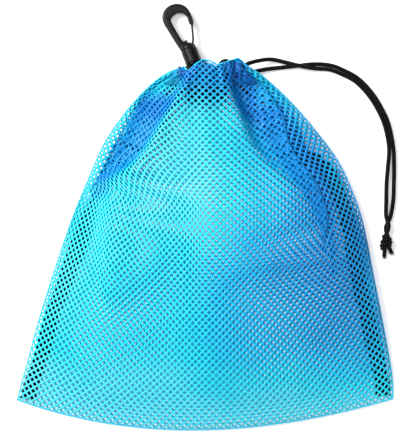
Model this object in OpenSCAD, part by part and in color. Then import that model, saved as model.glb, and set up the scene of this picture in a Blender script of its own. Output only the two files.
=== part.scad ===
// Mesh drawstring bag, lying on its back: two netting panels, bound side seams,
// a cord casing round the neck, a drawcord ending in an overhand knot,
// and a swivel snap hook held by a webbing loop.
// +X to the bag's right, +Y from the bottom fold to the hook, +Z up from the floor.

/* [Bag] */
// Depth from the corner line of the bottom fold to the casing
bag_len = 236; // [200:1:260]
// Greatest thickness of the empty bag as it lies
puff = 30; // [24:1:36]
// Wall thickness of the netting panels
wall = 1.2; // [0.8:0.1:1.6]
// How far the bottom fold bows out at its middle
bottom_bow = 21; // [10:1:26]
// Facets across a panel
cols = 26; // [16:2:32]
// Facets along a panel
rows = 26; // [16:2:30]

/* [Seam tape] */
// Width of the binding tape on a side seam
tape_w = 11; // [8:0.5:13]
// Thickness of the binding tape
tape_t = 0.8; // [0.6:0.1:1]

/* [Casing] */
// Thickness of the gathered neck
neck_t = 20; // [18:0.5:22]
// Width of the gathered neck
neck_w = 48; // [44:1:56]
// Height of the casing along the neck
casing_h = 10; // [8:0.5:12]
// Half of the mouth's height that stays open
mouth_r = 3.8; // [3.4:0.1:4.2]
// Tilt of the casing across the bag
casing_tilt = 8; // [4:1:10]

/* [Drawcord] */
// Diameter of the braided cord
cord_d = 3; // [2.6:0.1:3.2]
// Diameter of the overhand knot
knot_d = 9.4; // [8:0.2:11]

/* [Hook] */
// Turn of the hook away from the bag's long axis
hook_turn = 21; // [15:1:25]
// Diameter of the swivel barrel
barrel_d = 12.3; // [12:0.1:12.6]
// Length of the swivel barrel
barrel_l = 11; // [11:0.5:12]
// Diameter of the swivel post
post_d = 4.8; // [4:0.1:5]
// Diameter of the post's retaining head
head_d = 7.2; // [6.4:0.1:7.6]
// Running clearance on the radius of the post and of the gate's bead
run = 0.05; // [0.02:0.01:0.1]
// Radius of the seat inside the bow
seat_r = 6; // [5.6:0.1:6.2]
// Thickness of the bow
bow_t = 6.4; // [6:0.1:6.6]
// Width of the webbing that holds the hook
web_w = 13; // [11:0.5:13]
// Thickness of the webbing
web_t = 0.9; // [0.7:0.1:0.9]

/* [Hidden] */
$fn = 48;
net_blue = [0.30, 0.78, 0.93];
tape_black = [0.07, 0.07, 0.08];
acetal = [0.16, 0.17, 0.19];

// side outlines: distance up from the corner line, then x of the edge
left_edge = [[0, -141], [24, -134], [48, -128], [96, -113], [144, -96], [180, -81],
             [204, -67], [216, -58], [226, -47], [232, -36], [236, -21]];
right_edge = [[0, 141], [24, 139], [48, 135], [96, 125], [144, 115], [180, 99],
              [204, 79], [216, 70], [226, 57], [232, 45], [236, 33]];
y_corner = -139;
neck_x = 6;
neck_y = y_corner + bag_len + casing_h/2 + 0.5;
neck_z = neck_t/2;
half_run = neck_w/2 - neck_t/2;

// ---- panel surface, s from the bottom fold (0) to the casing (1), u from the left seam (-1) to the right (1)
function up(s) = bag_len*(1 - pow(1 - s, 1.45));
function seam_z(s) = wall + (5.2 - wall)*min(1, s*4) + (neck_z - 5.2)*pow(s, 3);
function crown(s) = 2*wall + (puff - 2*wall)*sin(180*min(1, pow(s, 0.8))) + (neck_t - 2*wall)*pow(s, 4);
function shape(s) = 0.5 + 0.18*sin(180*s);
function px(s, u) = let(l = lookup(up(s), left_edge), r = lookup(up(s), right_edge)) (l + r)/2 + u*(r - l)/2;
function py(s, u) = y_corner + up(s) - bottom_bow*(1 - u*u)*pow(1 - s, 1.6)
                    + (px(s, u) - neck_x)*tan(casing_tilt)*pow(s, 6);
function half_w(s) = (lookup(up(s), right_edge) - lookup(up(s), left_edge))/2;
function arc_u(i) = -cos(180*i/cols);
// the front domes up; the back lies flat on the floor and only curls up towards its seams
function dome(s, u) = pow(max(0, 1 - u*u), shape(s));
function tray(s, u) = min(1, pow(max(0, 1 - pow(abs(u), 2 + 7*(1 - pow(s, 5)))), 0.5)/0.97);
function rise(s, u, side) = side > 0 ? dome(s, u) : tray(s, u);
function outer_pt(s, u, side) = let(d = side > 0 ? crown(s) - seam_z(s) : seam_z(s))
    [px(s, u), py(s, u), seam_z(s) + side*d*rise(s, u, side)];
function inner_pt(s, u, side) = let(d = (side > 0 ? crown(s) - seam_z(s) : seam_z(s)) - wall, v = u*(1 - wall/half_w(s)))
    [px(s, v), py(s, v), seam_z(s) + side*max(0, d)*rise(s, u, side)];

// closed shell between an outer and an inner grid of points, nr+1 by nc+1
function quad(a, b, c, d) = [[a, b, c], [a, c, d]];
function grid_faces(nr, nc, flip) = let(m = nc + 1, n = (nr + 1)*m) [
    for (i = [0:nr - 1], j = [0:nc - 1], t = quad(i*m + j, i*m + j + 1, (i + 1)*m + j + 1, (i + 1)*m + j)) flip ? [t[2], t[1], t[0]] : t,
    for (i = [0:nr - 1], j = [0:nc - 1], t = quad(n + i*m + j, n + i*m + j + 1, n + (i + 1)*m + j + 1, n + (i + 1)*m + j)) flip ? t : [t[2], t[1], t[0]],
    for (j = [0:nc - 1], t = quad(j, j + 1, n + j + 1, n + j)) flip ? t : [t[2], t[1], t[0]],
    for (j = [0:nc - 1], t = quad(nr*m + j, nr*m + j + 1, n + nr*m + j + 1, n + nr*m + j)) flip ? [t[2], t[1], t[0]] : t,
    for (i = [0:nr - 1], t = quad(i*m, (i + 1)*m, n + (i + 1)*m, n + i*m)) flip ? [t[2], t[1], t[0]] : t,
    for (i = [0:nr - 1], t = quad(i*m + nc, (i + 1)*m + nc, n + (i + 1)*m + nc, n + i*m + nc)) flip ? t : [t[2], t[1], t[0]]];
module panel(side) {
    polyhedron(concat(
        [for (i = [0:rows], j = [0:cols]) outer_pt(i/rows, arc_u(j), side)],
        [for (i = [0:rows], j = [0:cols]) inner_pt(i/rows, arc_u(j), side)]),
        grid_faces(rows, cols, side > 0));
}
module front_panel() { color(net_blue) panel(1); }
module back_panel() { color(net_blue) panel(-1); }

// ---- binding tape inside each side seam
tape_rows = 18;
function tape_s(i) = 0.12 + 0.8*i/tape_rows;
function tape_in(s) = 1.6 + 5*s;
function tape_pt(i, k, edge, z) = let(s = tape_s(i), w = half_w(s), u = edge*(1 - (tape_in(s) + k*tape_w)/w))
    [px(s, u), py(s, u), seam_z(s) + z*tape_t/2 + 0.25];
module seam_tape(edge) {
    polyhedron(concat(
        [for (i = [0:tape_rows], k = [0:1]) tape_pt(i, k, edge, 1)],
        [for (i = [0:tape_rows], k = [0:1]) tape_pt(i, k, edge, -1)]),
        grid_faces(tape_rows, 1, edge < 0));
}
module left_seam_tape() { color(tape_black) seam_tape(-1); }
module right_seam_tape() { color(tape_black) seam_tape(1); }

// ---- tubes swept along a smooth route
function route_pt(p, i, t) = let(n = len(p), a = p[max(0, i - 1)], b = p[i], c = p[min(n - 1, i + 1)], d = p[min(n - 1, i + 2)])
    0.5*((2*b) + (c - a)*t + (2*a - 5*b + 4*c - d)*t*t + (3*b - a - 3*c + d)*t*t*t);
function route(p, k) = concat([for (i = [0:len(p) - 2], j = [0:k - 1]) route_pt(p, i, j/k)], [p[len(p) - 1]]);
function unit(v) = v/norm(v);
function tangent(r, i) = unit(r[min(len(r) - 1, i + 1)] - r[max(0, i - 1)]);
function ring(c, t, rad, sides) = let(side = unit(cross(t, [0.05, 0.03, 1])), top = cross(side, t))
    [for (k = [0:sides - 1]) c + rad*(cos(360*(k + 0.5)/sides)*side + sin(360*(k + 0.5)/sides)*top)];
module tube(r, rad, sides) {
    n = len(r);
    polyhedron([for (i = [0:n - 1]) each ring(r[i], tangent(r, i), rad, sides)],
        [[for (k = [sides - 1:-1:0]) k],
         for (i = [0:n - 2], k = [0:sides - 1]) each [
            [i*sides + k, (i + 1)*sides + (k + 1)%sides, (i + 1)*sides + k],
            [i*sides + k, i*sides + (k + 1)%sides, (i + 1)*sides + (k + 1)%sides]],
         [for (k = [0:sides - 1]) (n - 1)*sides + k]]);
}

// ---- neck casing: a stadium ring with a tunnel for the cord
module neck_place() { translate([neck_x, neck_y, neck_z]) rotate([0, 0, casing_tilt]) children(); }
module stadium(r, h) {
    rotate([90, 0, 0]) linear_extrude(h, center = true)
        polygon(concat(arc([half_run, 0], r, -90, 90, 20), arc([-half_run, 0], r, 90, 270, 20)));
}
tunnel_r = (neck_t/2 + mouth_r)/2;
cord_out = half_run + 8;
// the cord's path inside the casing: out of the right end, round the left end and back
module cord_path(d, reach) {
    translate([-half_run, 0, 0]) rotate([90, 0, 0]) rotate([0, 0, 90]) rotate_extrude(angle = 180) translate([tunnel_r, 0]) circle(d = d);
    for (z = [-tunnel_r, tunnel_r]) translate([-half_run, 0, z]) rotate([0, 90, 0]) cylinder(d = d, h = half_run + reach);
}
module neck_casing() {
    color(net_blue) neck_place() difference() {
        stadium(neck_t/2, casing_h);
        stadium(mouth_r, casing_h + 2);
        cord_path(cord_d + 0.4, cord_out + 6);
    }
}
module drawcord_in_casing() {
    color("black") neck_place() cord_path(cord_d, cord_out);
}

// ---- free drawcord: two strands from the casing to the knot
function neck_pt(p) = [neck_x + p[0]*cos(casing_tilt) - p[1]*sin(casing_tilt),
                       neck_y + p[0]*sin(casing_tilt) + p[1]*cos(casing_tilt), neck_z + p[2]];
exit_outer = neck_pt([cord_out, 0, tunnel_r]);
exit_inner = neck_pt([cord_out, 0, -tunnel_r]);
outer_route = [exit_outer, [33, 109.4, 15], [41, 115, 8], [50, 117.6, 3.2], [60, 116, 2.2], [70, 113.4, 4.8],
    [82, 111.6, 2.2], [93, 110.8, 1.7], [102, 107.6, 1.7], [113, 101.5, 1.7], [122.6, 91.4, 1.7], [129.6, 80.2, 1.7],
    [135, 68, 1.7], [138, 52, 1.7], [137, 38, 1.7], [136, 26, 1.7], [136, 12, 1.7], [136, -2, 1.7], [135.2, -15, 2]];
inner_route = [exit_inner, [35, 107.4, 2.2], [45.6, 110.6, 1.7], [57, 112, 1.7], [70, 113.6, 1.7],
    [82, 115, 1.7], [94, 114.2, 1.7], [104, 110.6, 1.7], [115.5, 104, 1.7], [125.4, 93, 1.7], [132.6, 81.4, 1.7],
    [138.4, 69, 1.7], [142.4, 52, 1.7], [142, 38, 1.7], [140.8, 24, 1.7], [139.8, 12, 1.7], [139.4, -2, 1.7], [137, -15, 4.9]];
module cord_strand_outer() { color("black") tube(route(outer_route, 2), cord_d/2, 8); }
module cord_strand_inner() { color("black") tube(route(inner_route, 2), cord_d/2, 8); }
knot_c = [135.6, -19.6];
module cord_knot() {
    color("black") {
        translate([knot_c[0], knot_c[1], 0.1]) rotate_extrude() intersection() {
            translate([knot_d/2 - 3.4, 3.4]) union() { circle(3.4); translate([-3, 0]) square([6, 6.8], center = true); }
            translate([0, 0]) square([20, 20]);
        }
        translate([135, -21, 1.7]) rotate([0, 90, -95]) cylinder(d = cord_d, h = 10);
        translate([137, -21, 1.7]) rotate([0, 90, -62]) cylinder(d = cord_d, h = 8);
    }
}

// ---- hook, in its own axes: y along the swivel, z out of the bow's plane
hook_at = [-12.15, 125.2, 6.2];
hook_dip = 4.5;
module hook_place() { translate(hook_at) rotate([0, 0, hook_turn]) rotate([-hook_dip, 0, 0]) children(); }
function arc(c, r, a0, a1, n) = [for (i = [0:n]) let(a = a0 + (a1 - a0)*i/n) [c[0] + r*cos(a), c[1] + r*sin(a)]];
eye_y = -14.6;
bar_r = 1.5;
bead = [3.6, 2.2];
bead_r = 1.4;
module along_y(y0, y1, r0, r1 = -1) {
    translate([0, y0, 0]) rotate([-90, 0, 0]) cylinder(h = y1 - y0, r1 = r0, r2 = r1 < 0 ? r0 : r1);
}
module hook_outline() {
    polygon(concat([[-5.7, 0.4]], [[-10.5, 23.4]],
        arc([0.15, 25.5], 10.75, 186, -14, 28),
        [[10.3, 19.7], [9.7, 18], [8.8, 17.6], [8.1, 18.2], [7.2, 20.4], [7.2, 22.8], [-4.5, 22.8], [-4.6, 21], [-2.5, 6.9],
         [-0.6, 6.4], [0.2, 6.9], [0.9, 6.5], [1.2, 4.2], [5, 4.2], [5.3, 0.4]]));
}
module hook_body() {
    color(acetal) hook_place() difference() {
        union() {
            intersection() {
                linear_extrude(bow_t, center = true) hook_outline();
                union() {
                    linear_extrude(bow_t + 1, center = true) polygon([[-14, -1], [14, -1], [14, 10], [6.4, 12], [6.4, 24.6], [14, 24.6], [14, 40], [-14, 40]]);
                    linear_extrude(2.4, center = true) square([14, 26]);
                }
            }
            along_y(-barrel_l, -0.35, barrel_d/2);
            along_y(-0.4, 0.2, barrel_d/2 - 0.5);
            along_y(0.15, 1.8, barrel_d/2 - 0.25);
            along_y(1.8, 4.2, barrel_d/2 - 0.25, barrel_d/2 - 1.3);
        }
        // seat for the thing it clips to
        translate([1.5, 22.8, 0]) cylinder(r = seat_r, h = 20, center = true, $fn = 96);
        // bore and chamber for the swivel post
        along_y(-barrel_l - 1, -7, post_d/2 + run);
        along_y(-7.3, -3.4, head_d/2 + run);
        // socket for the gate's bead, and the room its leaf swings in
        translate([bead[0], bead[1], 0]) cylinder(r = bead_r + run, h = 20, center = true);
        translate([bead[0], bead[1], 0]) linear_extrude(20, center = true)
            polygon([[0, 0], 9*[sin(-22), cos(-22)], 9*[sin(20), cos(20)], 9*[sin(60), cos(60)]]);
    }
}
module hook_gate() {
    color(acetal) hook_place() difference() {
        union() {
            translate([bead[0], bead[1], 0]) cylinder(r = bead_r, h = 6, center = true);
            linear_extrude(4.6, center = true)
                polygon([[3.1, 3.0], [4.2, 2.7], [6.6, 5.2], [7.4, 9], [9.5, 16.8], [8.3, 17], [6.2, 9.2], [5.4, 6]]);
            linear_extrude(6, center = true)
                polygon([[8.3, 16.1], [9.4, 16], [10.6, 18], [10.95, 20], [10.9, 22.6], [10.4, 23.3], [7.8, 24.1], [7.7, 23], [7.7, 20.4], [7.9, 17.6]]);
        }
        linear_extrude(2.9, center = true) polygon([[6, 26], [6, 16.9], [12, 16.9], [12, 26]]);
    }
}

// ---- swivel post with the eye that the webbing passes through
module swivel_eye() {
    color(acetal) hook_place() union() {
        along_y(-7.1, -3.9, head_d/2);
        along_y(-11.6, -6.9, post_d/2);
        along_y(-12.05, -11.15, barrel_d/2 - 0.2);
        translate([-8.5, -12.05, -1.5]) cube([17, 0.9, 3]);
        for (x = [-8.5, 7]) translate([x, eye_y - bar_r, -1.5]) cube([1.5, 12.05 + bar_r + eye_y + 2*(-eye_y - 12.05) + 0.5, 3]);
        translate([-8.5, eye_y, 0]) rotate([0, 90, 0]) cylinder(r = bar_r, h = 17);
    }
}
// ---- webbing: wraps the eye's bar, closes to one strap and is sewn into the casing
module hook_webbing() {
    in_r = bar_r + run; out_r = in_r + web_t;
    color(tape_black) hook_place() {
        translate([-web_w/2, eye_y, 0]) difference() {
            rotate([0, 90, 0]) cylinder(r = out_r, h = web_w);
            translate([-1, 0, 0]) rotate([0, 90, 0]) cylinder(r = in_r, h = web_w + 2);
            translate([-1, -10, -10]) cube([web_w + 2, 10, 20]);
        }
        rotate([90, 0, 90]) linear_extrude(web_w, center = true) difference() {
            polygon([[eye_y, out_r], [eye_y - 2, out_r - 0.6], [eye_y - 5, web_t + 0.1], [eye_y - 22, web_t], [eye_y - 22, -web_t],
                     [eye_y - 5, -web_t - 0.1], [eye_y - 2, -out_r + 0.6], [eye_y, -out_r]]);
            polygon([[eye_y + 0.01, in_r], [eye_y - 2, in_r - 0.5], [eye_y - 4.5, 0], [eye_y - 2, -in_r + 0.5], [eye_y + 0.01, -in_r]]);
        }
        translate([-10, -50, -0.6]) cube([20, 14, 1.2]);
    }
}

front_panel();
back_panel();
left_seam_tape();
right_seam_tape();
neck_casing();
drawcord_in_casing();
cord_strand_outer();
cord_strand_inner();
cord_knot();
hook_webbing();
swivel_eye();
hook_body();
hook_gate();
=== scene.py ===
import bpy, bmesh, math
import numpy as np
from mathutils import Vector, Matrix


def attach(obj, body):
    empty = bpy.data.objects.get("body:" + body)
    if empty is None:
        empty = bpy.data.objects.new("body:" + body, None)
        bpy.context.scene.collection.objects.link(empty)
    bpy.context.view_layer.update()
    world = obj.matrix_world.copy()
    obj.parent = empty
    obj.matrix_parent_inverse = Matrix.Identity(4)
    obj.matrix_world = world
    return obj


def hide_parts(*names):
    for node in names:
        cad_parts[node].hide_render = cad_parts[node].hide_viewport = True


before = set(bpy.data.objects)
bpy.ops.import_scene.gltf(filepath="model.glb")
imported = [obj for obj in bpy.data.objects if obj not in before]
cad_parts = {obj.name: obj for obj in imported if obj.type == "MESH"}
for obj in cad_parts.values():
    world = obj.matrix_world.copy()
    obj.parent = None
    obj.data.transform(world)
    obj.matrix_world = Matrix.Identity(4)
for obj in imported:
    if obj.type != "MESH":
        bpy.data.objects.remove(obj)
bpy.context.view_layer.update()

MM = 0.001
scene = bpy.context.scene
scene.view_settings.view_transform = "Standard"
scene.view_settings.look = "None"

# ------------------------------------------------------------------ camera and materials
cam_data = bpy.data.cameras.new("camera")
cam = bpy.data.objects.new("camera", cam_data)
scene.collection.objects.link(cam)
cam_data.sensor_width = 36
cam_data.lens = 100
frame_h = 0.3255
cam.location = (-0.003, 0.0, 0.003 + frame_h * 100 / 36)
cam.rotation_euler = (0, 0, 0)
scene.camera = cam


def mat_new(name):
    m = bpy.data.materials.new(name)
    m.use_nodes = True
    nt = m.node_tree
    nt.nodes.clear()
    out = nt.nodes.new("ShaderNodeOutputMaterial")
    p = nt.nodes.new("ShaderNodeBsdfPrincipled")
    nt.links.new(p.outputs[0], out.inputs[0])
    return m, nt, p


def ramp(nt, fac, stops):
    r = nt.nodes.new("ShaderNodeValToRGB")
    e = r.color_ramp.elements
    while len(e) < len(stops):
        e.new(0.5)
    for i, (pos, col) in enumerate(stops):
        e[i].position = pos
        e[i].color = (*col, 1)
    nt.links.new(fac, r.inputs[0])
    return r.outputs[0]


def noise(nt, scale, detail=3, rough=0.55, stretch=None):
    tc = nt.nodes.new("ShaderNodeTexCoord")
    n = nt.nodes.new("ShaderNodeTexNoise")
    n.inputs["Scale"].default_value = scale
    n.inputs["Detail"].default_value = detail
    n.inputs["Roughness"].default_value = rough
    if stretch:
        mp = nt.nodes.new("ShaderNodeMapping")
        mp.inputs["Scale"].default_value = stretch
        nt.links.new(tc.outputs["Object"], mp.inputs[0])
        nt.links.new(mp.outputs[0], n.inputs[0])
    else:
        nt.links.new(tc.outputs["Object"], n.inputs[0])
    return n.outputs[0]


def math_node(nt, op, a, b):
    m = nt.nodes.new("ShaderNodeMath")
    m.operation = op
    for i, v in enumerate((a, b)):
        if isinstance(v, (int, float)):
            m.inputs[i].default_value = v
        else:
            nt.links.new(v, m.inputs[i])
    return m.outputs[0]


def bump(nt, p, height, strength, distance):
    b = nt.nodes.new("ShaderNodeBump")
    b.inputs["Strength"].default_value = strength
    b.inputs["Distance"].default_value = distance
    nt.links.new(height, b.inputs["Height"])
    nt.links.new(b.outputs[0], p.inputs["Normal"])


def wave(nt, scale, direction, distort=0.0, rot=None):
    tc = nt.nodes.new("ShaderNodeTexCoord")
    mp = nt.nodes.new("ShaderNodeMapping")
    if rot:
        mp.inputs["Rotation"].default_value = rot
    nt.links.new(tc.outputs["Object"], mp.inputs[0])
    w = nt.nodes.new("ShaderNodeTexWave")
    w.bands_direction = direction
    w.inputs["Scale"].default_value = scale
    w.inputs["Distortion"].default_value = distort
    nt.links.new(mp.outputs[0], w.inputs[0])
    return w.outputs["Fac"]


def net_material(name, white, pale, mid, deep, painted_layer_shade_colour, rough=0.30):
    """Glossy coated netting, with painted light and shade in its colour: pale cyan on the left where the light falls,
    deep blue on the right with a painted shade spot, a painted light patch in the middle and paler towards the bottom,
    over random tone; where meshes bunch and layers stack, the layer shade attribute paints a deeper blue.
    """
    m, nt, p = mat_new(name)
    tc = nt.nodes.new("ShaderNodeTexCoord")
    sx = nt.nodes.new("ShaderNodeSeparateXYZ")
    nt.links.new(tc.outputs["Object"], sx.inputs[0])
    big = noise(nt, 13, 3)
    fine = noise(nt, 900, 3)
    # painted shade: a deeper blue spot on the right side, where the surface faces away from the light
    ax = math_node(nt, "MULTIPLY", math_node(nt, "SUBTRACT", sx.outputs[0], 0.088), 15.0)
    ay = math_node(nt, "MULTIPLY", math_node(nt, "ADD", sx.outputs[1], 0.015), 10.5)
    d2 = math_node(nt, "ADD", math_node(nt, "MULTIPLY", ax, ax), math_node(nt, "MULTIPLY", ay, ay))
    painted_shade_spot = math_node(nt, "MULTIPLY", math_node(nt, "POWER", 2.718, math_node(nt, "MULTIPLY", d2, -0.9)), 0.42)
    # painted light: a paler patch in the middle of the bag; the map range below also turns the colour paler towards the
    # bottom
    bx = math_node(nt, "MULTIPLY", math_node(nt, "ADD", sx.outputs[0], 0.008), 20.0)
    by = math_node(nt, "MULTIPLY", math_node(nt, "SUBTRACT", sx.outputs[1], 0.042), 17.0)
    b2 = math_node(nt, "ADD", math_node(nt, "MULTIPLY", bx, bx), math_node(nt, "MULTIPLY", by, by))
    painted_light_and_pale_bottom = math_node(nt, "MULTIPLY", math_node(nt, "POWER", 2.718, math_node(nt, "MULTIPLY", b2, -0.9)), -0.38)
    low = nt.nodes.new("ShaderNodeMapRange")
    low.interpolation_type = "SMOOTHSTEP"
    low.inputs["From Min"].default_value = -0.165
    low.inputs["From Max"].default_value = -0.085
    low.inputs["To Min"].default_value = -0.52
    low.inputs["To Max"].default_value = 0.0
    nt.links.new(sx.outputs[1], low.inputs["Value"])
    painted_light_and_pale_bottom = math_node(nt, "ADD", painted_light_and_pale_bottom, low.outputs[0])
    # painted light and shade: the left-to-right shift, the shade spot and the light patch summed; the big noise below
    # adds random tone
    painted_light_and_shade = math_node(nt, "ADD", math_node(nt, "MULTIPLY", sx.outputs[0], 0.75), math_node(nt, "ADD", painted_shade_spot, painted_light_and_pale_bottom))
    mix = math_node(nt, "ADD", math_node(nt, "ADD", painted_light_and_shade, -0.10), math_node(nt, "MULTIPLY", big, 0.85))
    base = ramp(nt, mix, [(0.0, white), (0.20, pale), (0.52, mid), (0.9, deep)])
    # painted shade: the per-point layer shade attribute mixes in a deeper blue where the netting bunches and layers
    # stack
    at = nt.nodes.new("ShaderNodeAttribute")
    at.attribute_name = "painted_layer_shade"
    mx = nt.nodes.new("ShaderNodeMix")
    mx.data_type = "RGBA"
    nt.links.new(at.outputs["Fac"], mx.inputs[0])
    nt.links.new(base, mx.inputs[6])
    mx.inputs[7].default_value = (*painted_layer_shade_colour, 1)
    mf = nt.nodes.new("ShaderNodeMix")
    mf.data_type = "RGBA"
    mf.blend_type = "MULTIPLY"
    mf.inputs[0].default_value = 0.35
    nt.links.new(mx.outputs[2], mf.inputs[6])
    nt.links.new(ramp(nt, fine, [(0.3, (0.7, 0.7, 0.7)), (0.65, (1, 1, 1))]), mf.inputs[7])
    nt.links.new(mf.outputs[2], p.inputs["Base Color"])
    rg = nt.nodes.new("ShaderNodeMapRange")
    rg.inputs["To Min"].default_value = rough - 0.1
    rg.inputs["To Max"].default_value = rough + 0.16
    nt.links.new(fine, rg.inputs["Value"])
    nt.links.new(rg.outputs[0], p.inputs["Roughness"])
    yarn = math_node(nt, "ADD", wave(nt, 700, "X", 1.5, (0, 0, math.radians(45))), wave(nt, 700, "Y", 1.5, (0, 0, math.radians(45))))
    bump(nt, p, math_node(nt, "ADD", math_node(nt, "MULTIPLY", yarn, 0.5), fine), 0.35, 0.00012)
    p.inputs["Specular IOR Level"].default_value = 0.22
    p.inputs["Coat Weight"].default_value = 0.08
    p.inputs["Coat Roughness"].default_value = 0.15
    p.inputs["Subsurface Weight"].default_value = 0.10
    p.inputs["Subsurface Radius"].default_value = (0.0004, 0.0012, 0.002)
    return m


def fabric_black(name, base, hi, scale, direction, rough=0.82, sheen=0.35, rot=None):
    m, nt, p = mat_new(name)
    n = noise(nt, 260, 4)
    fuzz = noise(nt, 3200, 2)
    rib = wave(nt, scale, direction, 0.8, rot)
    mix = math_node(nt, "ADD", math_node(nt, "MULTIPLY", n, 0.5), math_node(nt, "MULTIPLY", rib, 0.5))
    nt.links.new(ramp(nt, mix, [(0.25, base), (0.75, hi)]), p.inputs["Base Color"])
    bump(nt, p, math_node(nt, "ADD", rib, math_node(nt, "MULTIPLY", fuzz, 0.5)), 0.6, 0.00025)
    rg = nt.nodes.new("ShaderNodeMapRange")
    rg.inputs["To Min"].default_value = rough - 0.1
    rg.inputs["To Max"].default_value = rough + 0.08
    nt.links.new(fuzz, rg.inputs["Value"])
    nt.links.new(rg.outputs[0], p.inputs["Roughness"])
    p.inputs["Sheen Weight"].default_value = sheen
    p.inputs["Sheen Roughness"].default_value = 0.4
    p.inputs["Specular IOR Level"].default_value = 0.12
    return m


def acetal_material(name):
    m, nt, p = mat_new(name)
    n = noise(nt, 120, 4)
    fine = noise(nt, 2600, 3)
    geo = nt.nodes.new("ShaderNodeNewGeometry")
    # painted highlight: convex edges, found from pointiness, are painted lighter
    painted_edge_highlight = nt.nodes.new("ShaderNodeMapRange")
    painted_edge_highlight.inputs["From Min"].default_value = 0.50
    painted_edge_highlight.inputs["From Max"].default_value = 0.62
    nt.links.new(geo.outputs["Pointiness"], painted_edge_highlight.inputs["Value"])
    mix = math_node(nt, "ADD", math_node(nt, "MULTIPLY", n, 0.6), math_node(nt, "MULTIPLY", painted_edge_highlight.outputs[0], 0.4))
    nt.links.new(ramp(nt, mix, [(0.2, (0.0005, 0.0006, 0.0012)), (0.5, (0.0015, 0.0018, 0.0028)), (0.9, (0.008, 0.0085, 0.011))]), p.inputs["Base Color"])
    rg = nt.nodes.new("ShaderNodeMapRange")
    p.inputs["Specular IOR Level"].default_value = 0.22
    rg.inputs["To Min"].default_value = 0.26
    rg.inputs["To Max"].default_value = 0.46
    nt.links.new(n, rg.inputs["Value"])
    nt.links.new(rg.outputs[0], p.inputs["Roughness"])
    bump(nt, p, math_node(nt, "ADD", fine, math_node(nt, "MULTIPLY", n, 0.6)), 0.18, 0.0001)
    return m


M_NET = net_material("netting_front", (0.075, 0.72, 0.88), (0.014, 0.68, 0.86), (0.004, 0.50, 0.82), (0.001, 0.26, 0.63), (0.0, 0.215, 0.64))
# the back netting and the hem use a darker copy of the front netting's colours: painted shade under the front layer
M_NET_PAINTED_SHADE = net_material("netting_back", (0.05, 0.60, 0.78), (0.008, 0.52, 0.72), (0.003, 0.37, 0.68), (0.0005, 0.15, 0.46), (0.0, 0.10, 0.40))
M_TAPE = fabric_black("binding_tape", (0.0025, 0.0025, 0.003), (0.009, 0.009, 0.011), 620, "X", 0.85, 0.05)
M_WEB = fabric_black("webbing", (0.003, 0.003, 0.0035), (0.011, 0.011, 0.013), 480, "Y", 0.82, 0.08)
M_CORD = fabric_black("braided_cord", (0.0008, 0.0008, 0.001), (0.0038, 0.0038, 0.0048), 900, "DIAGONAL", 0.7, 0.03)
M_THREAD = fabric_black("black_thread", (0.008, 0.008, 0.01), (0.04, 0.04, 0.045), 1500, "X", 0.6, 0.1)
M_BTHREAD = net_material("blue_thread", (0.02, 0.42, 0.66), (0.02, 0.42, 0.66), (0.01, 0.32, 0.62), (0.006, 0.2, 0.5), (0.005, 0.2, 0.5), 0.55)
M_ACETAL = acetal_material("moulded_acetal")


def make_obj(name, verts, faces, mat, body, smooth=True, scale=MM):
    v = np.asarray(verts, dtype=np.float64) * scale
    me = bpy.data.meshes.new(name)
    if isinstance(faces, np.ndarray):
        nf, k = faces.shape
        me.vertices.add(len(v))
        me.vertices.foreach_set("co", v.astype(np.float32).ravel())
        me.loops.add(nf * k)
        me.loops.foreach_set("vertex_index", faces.astype(np.int32).ravel())
        me.polygons.add(nf)
        me.polygons.foreach_set("loop_start", np.arange(0, nf * k, k, dtype=np.int32))
        me.update(calc_edges=True)
    else:
        me.from_pydata([tuple(x) for x in v], [], faces)
    me.validate()
    me.polygons.foreach_set("use_smooth", [smooth] * len(me.polygons))
    me.update()
    ob = bpy.data.objects.new(name, me)
    scene.collection.objects.link(ob)
    me.materials.append(mat)
    if body:
        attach(ob, body)
    return ob


# ------------------------------------------------------------------ smooth routes, tubes
def route(P, k):
    P = np.asarray(P, float)
    n = len(P)
    out = []
    for i in range(n - 1):
        a, b, c, d = P[max(0, i - 1)], P[i], P[i + 1], P[min(n - 1, i + 2)]
        for j in range(k):
            t = j / k
            out.append(0.5 * (2 * b + (c - a) * t + (2 * a - 5 * b + 4 * c - d) * t * t + (3 * b - a - 3 * c + d) * t ** 3))
    out.append(P[-1])
    return np.array(out)


def resample(P, step):
    seg = np.linalg.norm(np.diff(P, axis=0), axis=1)
    s = np.concatenate([[0], np.cumsum(seg)])
    n = max(2, int(round(s[-1] / step)) + 1)
    q = np.linspace(0, s[-1], n)
    return np.stack([np.interp(q, s, P[:, i]) for i in range(3)], axis=1), s[-1]


def frames(P, up=(0.05, 0.03, 1)):
    T = np.gradient(P, axis=0)
    T /= np.linalg.norm(T, axis=1)[:, None]
    S = np.cross(T, np.array(up, float))
    S /= np.linalg.norm(S, axis=1)[:, None]
    return T, S, np.cross(S, T)


def braided(P, rad, sides=20, step=0.42, amp=0.055, starts=6, pitch=5.2, caps=True):
    """A round braid: two families of yarn bundles that cross, as ridges on a tube."""
    P, length = resample(P, step)
    T, S, U = frames(P)
    n = len(P)
    th = np.linspace(0, 2 * math.pi, sides, endpoint=False)
    s = np.arange(n) * length / (n - 1)
    A = th[None, :] * starts / 2 + s[:, None] * 2 * math.pi / pitch
    B = th[None, :] * starts / 2 - s[:, None] * 2 * math.pi / pitch
    r = rad * (1 - amp + 2 * amp * np.maximum(np.abs(np.cos(A)), np.abs(np.cos(B))) ** 1.5)
    V = P[:, None, :] + r[:, :, None] * (np.cos(th)[None, :, None] * S[:, None, :] + np.sin(th)[None, :, None] * U[:, None, :])
    V = V.reshape(-1, 3)
    i, k = np.meshgrid(np.arange(n - 1), np.arange(sides), indexing="ij")
    k2 = (k + 1) % sides
    F = np.stack([i * sides + k, i * sides + k2, (i + 1) * sides + k2, (i + 1) * sides + k], axis=-1).reshape(-1, 4)
    F = F.tolist()
    F.append(list(range(sides))[::-1])
    F.append([(n - 1) * sides + k for k in range(sides)])
    return V, F, P, length


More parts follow.
